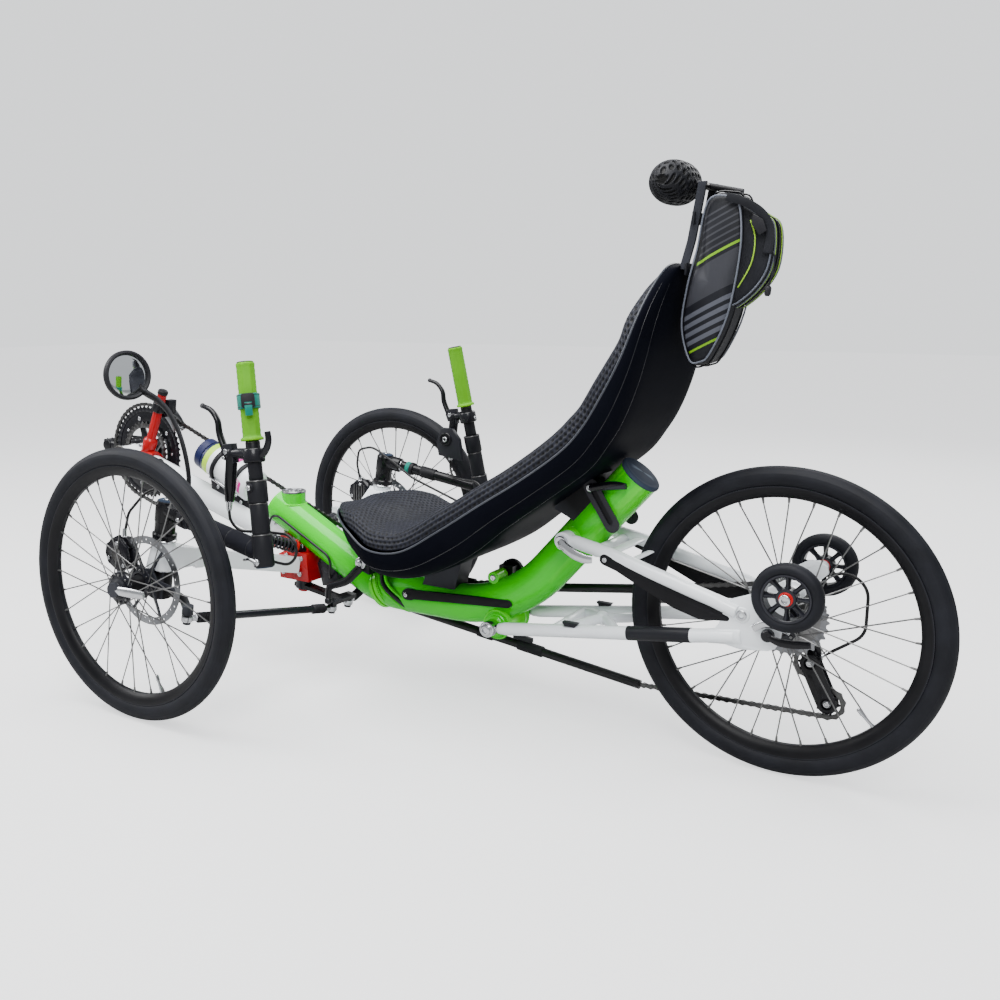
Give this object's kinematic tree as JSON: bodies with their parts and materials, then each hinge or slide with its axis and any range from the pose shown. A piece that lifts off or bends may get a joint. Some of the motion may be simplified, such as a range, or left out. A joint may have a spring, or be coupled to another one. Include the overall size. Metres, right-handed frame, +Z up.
{
  "type": "recumbent_trike",
  "caption": "Recumbent trike with steered front wheels, sprung folding frame, mesh bucket seat, upright grips, disc brakes, chain drive and a seat bag",
  "frame": {"origin": "on the ground under the middle of the length and width", "axes": "+X direction of travel, +Y rider's left, +Z up"},
  "size_m": [1.89, 0.894, 0.935],
  "materials": {
    "lime_paint": "bright lime-green gloss paint",
    "white_paint": "pearl white gloss paint",
    "black_paint": "black gloss and satin coat",
    "red_anodised": "glossy red anodised",
    "chrome": "polished",
    "steel": "satin and brushed",
    "black_alloy": "black anodised",
    "tyre_rubber": "slick tread, plain sidewall",
    "black_plastic": "fine matt",
    "shell_black": "gloss black shell",
    "grip_lime": "soft lime rubber",
    "strap_teal": "woven teal webbing",
    "mesh_black": "open honeycomb spacer mesh",
    "bag_fabric": "woven black and grey with lime stripes",
    "foam_black": "closed foam",
    "bottle_white": "white bottle with a navy cap",
    "slate_cap": "dark slate",
    "mirror_glass": "silvered"
  },
  "bodies": {
    "frame": {"main_frame": "lime_paint", "frame_nose": "lime_paint", "end_cap": "slate_cap", "fold_clamp": "chrome", "guards": "black_plastic", "boom": "white_paint", "derailleur_mast": "red_anodised", "front_derailleur": "black_alloy", "bottle": "bottle_white", "bottle_cage": "black_plastic", "axle_bracket": "red_anodised", "front_arms": "white_paint", "shocks": "steel", "headset_cups": "black_alloy", "rear_arm": "white_paint", "axle_fittings": "steel", "chain": "steel", "chain_tubes": "black_plastic", "rear_derailleur": "black_alloy", "gear_cables": "black_plastic", "seat_shell": "shell_black", "seat_pad": "mesh_black", "seat_mounts": "black_alloy", "headrest_pad": "foam_black", "bag": "bag_fabric"},
    "knuckle_left": {"knuckle_left": "black_alloy", "handlebar_left": "foam_black", "grip_left": "grip_lime", "grip_strap": "strap_teal", "brake_lever_left": "black_alloy", "caliper_left": "black_alloy", "brake_hose_left": "black_plastic", "mirror": "mirror_glass"},
    "knuckle_right": {"knuckle_right": "black_alloy", "handlebar_right": "black_paint", "grip_right": "grip_lime", "brake_lever_right": "black_alloy", "caliper_right": "black_alloy", "brake_hose_right": "black_plastic"},
    "wheel_left": {"wheel_left": "black_alloy", "tyre_left": "tyre_rubber", "rotor_left": "steel"},
    "wheel_right": {"wheel_right": "black_alloy", "tyre_right": "tyre_rubber", "rotor_right": "steel"},
    "wheel_rear": {"wheel_rear": "black_alloy", "tyre_rear": "tyre_rubber", "cassette": "steel"},
    "bellcrank": {"bellcrank": "steel"},
    "tie_rod_left": {"tie_rod_left": "black_paint"},
    "tie_rod_right": {"tie_rod_right": "black_paint"},
    "crankset": {"crankset": "black_alloy"},
    "pedal_left": {"pedal_left": "black_plastic"},
    "pedal_right": {"pedal_right": "black_plastic"},
    "idler": {"idler": "black_plastic"},
    "roller_left": {"roller_left": "black_plastic"},
    "roller_right": {"roller_right": "black_plastic"}
  },
  "joints": [
    {"name": "steer_left", "type": "hinge", "parent": "frame", "child": "knuckle_left", "pos_m": [0.285, 0.335, 0.24], "axis": [-0.1564, 0, 0.9877], "range_deg": [-25, 25]},
    {"name": "steer_right", "type": "hinge", "parent": "frame", "child": "knuckle_right", "pos_m": [0.285, -0.335, 0.24], "axis": [-0.1564, 0, 0.9877], "range_deg": [-25, 25]},
    {"name": "bellcrank_turn", "type": "hinge", "parent": "frame", "child": "bellcrank", "pos_m": [0.2344, 0, 0.157], "axis": [-0.1564, 0, 0.9877], "range_deg": [-25, 25]},
    {"name": "tie_rod_left_swing", "type": "hinge", "parent": "knuckle_left", "child": "tie_rod_left", "pos_m": [0.19502, 0.361, 0.19699], "axis": [-0.1564, 0, 0.9877], "range_deg": [-25, 25]},
    {"name": "tie_rod_right_swing", "type": "hinge", "parent": "knuckle_right", "child": "tie_rod_right", "pos_m": [0.19502, -0.361, 0.19699], "axis": [-0.1564, 0, 0.9877], "range_deg": [-25, 25]},
    {"name": "wheel_left_spin", "type": "hinge", "parent": "knuckle_left", "child": "wheel_left", "pos_m": [0.285, 0.405, 0.24], "axis": [0, 1, 0], "continuous": true},
    {"name": "wheel_right_spin", "type": "hinge", "parent": "knuckle_right", "child": "wheel_right", "pos_m": [0.285, -0.405, 0.24], "axis": [0, 1, 0], "continuous": true},
    {"name": "wheel_rear_spin", "type": "hinge", "parent": "frame", "child": "wheel_rear", "pos_m": [-0.705, 0, 0.24], "axis": [0, 1, 0], "continuous": true},
    {"name": "crank_spin", "type": "hinge", "parent": "frame", "child": "crankset", "pos_m": [0.73, 0, 0.385], "axis": [0, 1, 0], "continuous": true},
    {"name": "pedal_left_spin", "type": "hinge", "parent": "crankset", "child": "pedal_left", "pos_m": [0.56, 0.14, 0.385], "axis": [0, 1, 0], "continuous": true},
    {"name": "pedal_right_spin", "type": "hinge", "parent": "crankset", "child": "pedal_right", "pos_m": [0.9, -0.14, 0.385], "axis": [0, 1, 0], "continuous": true},
    {"name": "idler_spin", "type": "hinge", "parent": "frame", "child": "idler", "pos_m": [-0.217, -0.048, 0.24], "axis": [0, 1, 0], "continuous": true},
    {"name": "roller_left_spin", "type": "hinge", "parent": "frame", "child": "roller_left", "pos_m": [-0.738, 0.113, 0.31], "axis": [0, 1, 0], "continuous": true},
    {"name": "roller_right_spin", "type": "hinge", "parent": "frame", "child": "roller_right", "pos_m": [-0.738, -0.113, 0.31], "axis": [0, 1, 0], "continuous": true}
  ],
  "couplings": [
    {"joint": "steer_right", "follows": "steer_left", "ratio": 1},
    {"joint": "bellcrank_turn", "follows": "steer_left", "ratio": 1},
    {"joint": "tie_rod_left_swing", "follows": "steer_left", "ratio": -1},
    {"joint": "tie_rod_right_swing", "follows": "steer_left", "ratio": -1}
  ]
}
